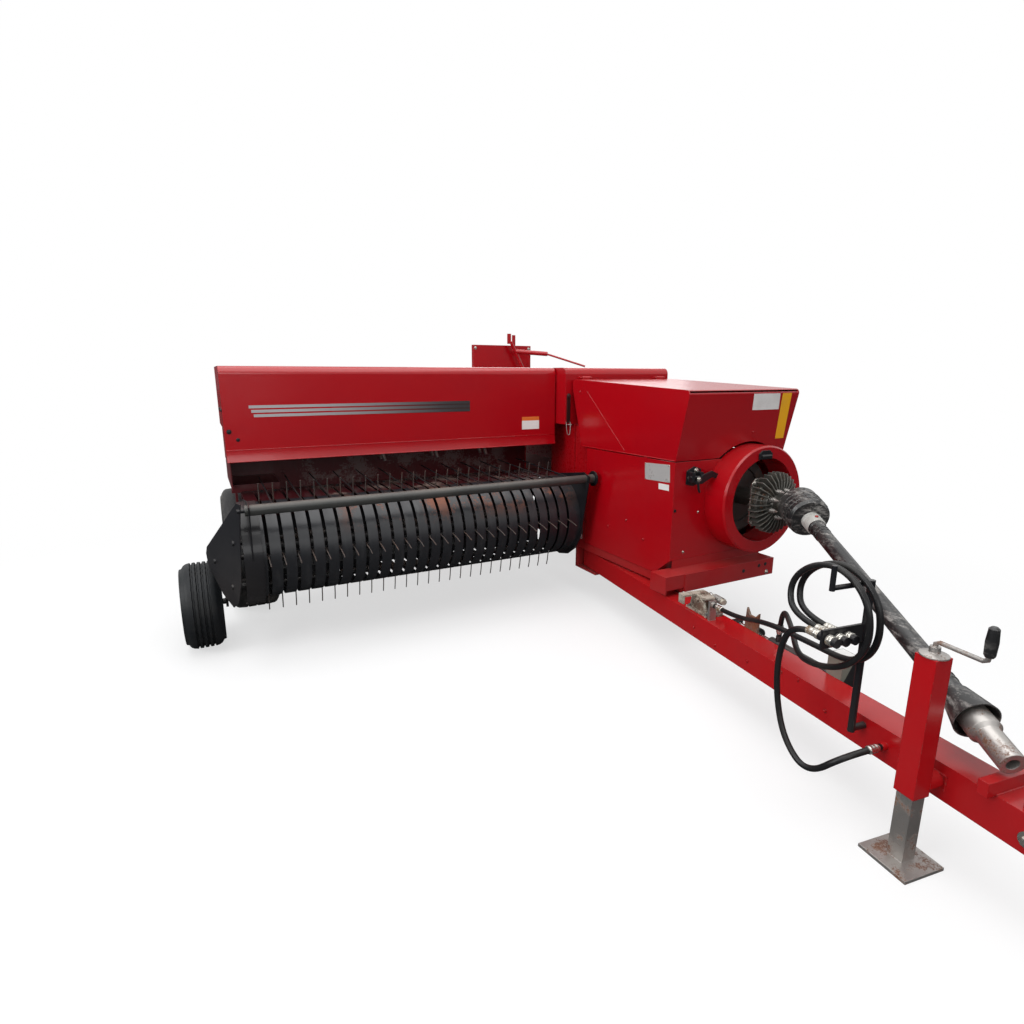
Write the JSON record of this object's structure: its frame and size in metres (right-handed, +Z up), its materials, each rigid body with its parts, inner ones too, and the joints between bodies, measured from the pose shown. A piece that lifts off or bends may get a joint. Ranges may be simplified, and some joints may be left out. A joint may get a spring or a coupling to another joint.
{
  "type": "square baler",
  "caption": "Trailed square baler: tined pickup at one side, feeder under a long cover, bale chamber, knotters, shielded flywheel drive and a swinging tongue on a jack.",
  "frame": {"origin": "centre of the plan's bounding box, on the ground", "axes": "+X the machine's left, -Y its front and the way it is towed, +Z up"},
  "size_m": [3.091, 5.8272, 1.7],
  "materials": {
    "red_paint": "glossy, a little faded",
    "black_paint": "worn satin",
    "tyre": "worn",
    "rim_paint": "worn satin",
    "bare_steel": "worn",
    "cast_iron": "dusty",
    "black_plastic": "dusty",
    "rubber": "satin",
    "rusty_steel": "rusty"
  },
  "bodies": {
    "frame": {"main_frame": "red_paint", "bale_chamber": "red_paint", "tension_yokes": "red_paint", "tension_cranks": "bare_steel", "star_bracket": "bare_steel", "front_shield": "red_paint", "shield_hoop": "red_paint", "gearbox": "cast_iron", "feeder_house": "red_paint", "chamber_cover": "red_paint", "twine_box": "red_paint", "knotter_cover": "red_paint", "knotter_frame": "cast_iron", "hook_post": "red_paint"},
    "left_wheel": {"left_tyre": "tyre", "left_rim": "rim_paint"},
    "right_wheel": {"right_tyre": "tyre", "right_rim": "rim_paint"},
    "gauge_wheel": {"gauge_tyre": "tyre", "gauge_rim": "rim_paint"},
    "hood": {"hood": "red_paint"},
    "feeder_cover": {"feeder_cover": "red_paint"},
    "twine_lid": {"twine_lid": "red_paint"},
    "flywheel": {"flywheel": "cast_iron", "slip_clutch": "cast_iron"},
    "pto_guard": {"pto_guard": "black_plastic"},
    "pto_drive": {"pto_drive": "bare_steel"},
    "tongue": {"tongue": "red_paint", "hitch_clevis": "rusty_steel", "jack_tube": "red_paint", "tongue_latch": "rusty_steel", "latch_cylinder": "black_paint", "lift_hose": "rubber", "swing_hose": "rubber", "slack_hose": "rubber"},
    "jack_leg": {"jack_leg": "bare_steel"},
    "pickup": {"pickup_strippers": "black_paint", "pickup_sides": "black_paint", "gauge_arm": "black_paint"},
    "reel": {"pickup_reel": "rusty_steel"},
    "windguard": {"windguard": "black_paint"},
    "forks": {"feeder_forks": "bare_steel"},
    "star_wheel": {"star_wheel": "bare_steel"},
    "needles": {"needle_yoke": "bare_steel"},
    "chute": {"bale_chute": "red_paint"}
  },
  "joints": [
    {"name": "left_wheel_spin", "type": "hinge", "parent": "frame", "child": "left_wheel", "pos_m": [1.413, 0.6717, 0.36], "axis": [1, 0, 0], "continuous": true},
    {"name": "right_wheel_spin", "type": "hinge", "parent": "frame", "child": "right_wheel", "pos_m": [-1.177, 0.6717, 0.36], "axis": [1, 0, 0], "continuous": true},
    {"name": "pickup_lift", "type": "hinge", "parent": "frame", "child": "pickup", "pos_m": [-0.317, 0.3617, 0.62], "axis": [-1, 0, 0], "range_deg": [0, 12]},
    {"name": "gauge_wheel_spin", "type": "hinge", "parent": "pickup", "child": "gauge_wheel", "pos_m": [-1.453, 0.1517, 0.22], "axis": [1, 0, 0], "continuous": true},
    {"name": "reel_spin", "type": "hinge", "parent": "pickup", "child": "reel", "pos_m": [-0.317, -0.0183, 0.525], "axis": [1, 0, 0], "continuous": true},
    {"name": "windguard_float", "type": "hinge", "parent": "pickup", "child": "windguard", "pos_m": [-0.317, -0.2983, 0.78], "axis": [1, 0, 0], "range_deg": [0, 8]},
    {"name": "flywheel_spin", "type": "hinge", "parent": "frame", "child": "flywheel", "pos_m": [1.163, -0.8863, 0.742], "axis": [0, -1, 0], "continuous": true},
    {"name": "tongue_swing", "type": "hinge", "parent": "frame", "child": "tongue", "pos_m": [0.765, -0.2083, 0.245], "axis": [0, 0, 1], "range_deg": [0, 36]},
    {"name": "pto_swing", "type": "hinge", "parent": "frame", "child": "pto_guard", "pos_m": [1.163, -1.2883, 0.742], "axis": [0, 0, 1], "range_deg": [0, 66.6]},
    {"name": "pto_spin", "type": "hinge", "parent": "pto_guard", "child": "pto_drive", "pos_m": [1.163, -1.2883, 0.742], "axis": [-0.5, -0.8321, -0.2402], "continuous": true},
    {"name": "jack_slide", "type": "slide", "parent": "tongue", "child": "jack_leg", "axis": [0, 0, 1], "range_m": [0, 0.2]},
    {"name": "feeder_cover_open", "type": "hinge", "parent": "frame", "child": "feeder_cover", "pos_m": [-0.317, 0.6577, 1.4], "axis": [-1, 0, 0], "range_deg": [0, 70]},
    {"name": "hood_open", "type": "hinge", "parent": "frame", "child": "hood", "pos_m": [1.053, -0.0123, 1.354], "axis": [-1, 0, 0], "range_deg": [0, 60]},
    {"name": "twine_lid_open", "type": "hinge", "parent": "frame", "child": "twine_lid", "pos_m": [-0.142, 0.677, 1.152], "axis": [1, 0, 0], "range_deg": [0, 80]},
    {"name": "chute_fold", "type": "hinge", "parent": "frame", "child": "chute", "pos_m": [0.943, 2.3217, 0.668], "axis": [1, 0, 0], "range_deg": [0, 90]},
    {"name": "star_spin", "type": "hinge", "parent": "frame", "child": "star_wheel", "pos_m": [0.943, 1.7817, 1.111], "axis": [1, 0, 0], "continuous": true},
    {"name": "needle_swing", "type": "hinge", "parent": "frame", "child": "needles", "pos_m": [0.943, 1.1717, 0.69], "axis": [1, 0, 0], "range_deg": [0, 58]},
    {"name": "feeder_slide", "type": "slide", "parent": "frame", "child": "forks", "axis": [1, 0, 0], "range_m": [-0.3, 0.3]}
  ],
  "couplings": [
    {"joint": "pto_swing", "follows": "tongue_swing", "ratio": 1.85},
    {"joint": "pto_spin", "follows": "flywheel_spin", "ratio": 1}
  ]
}
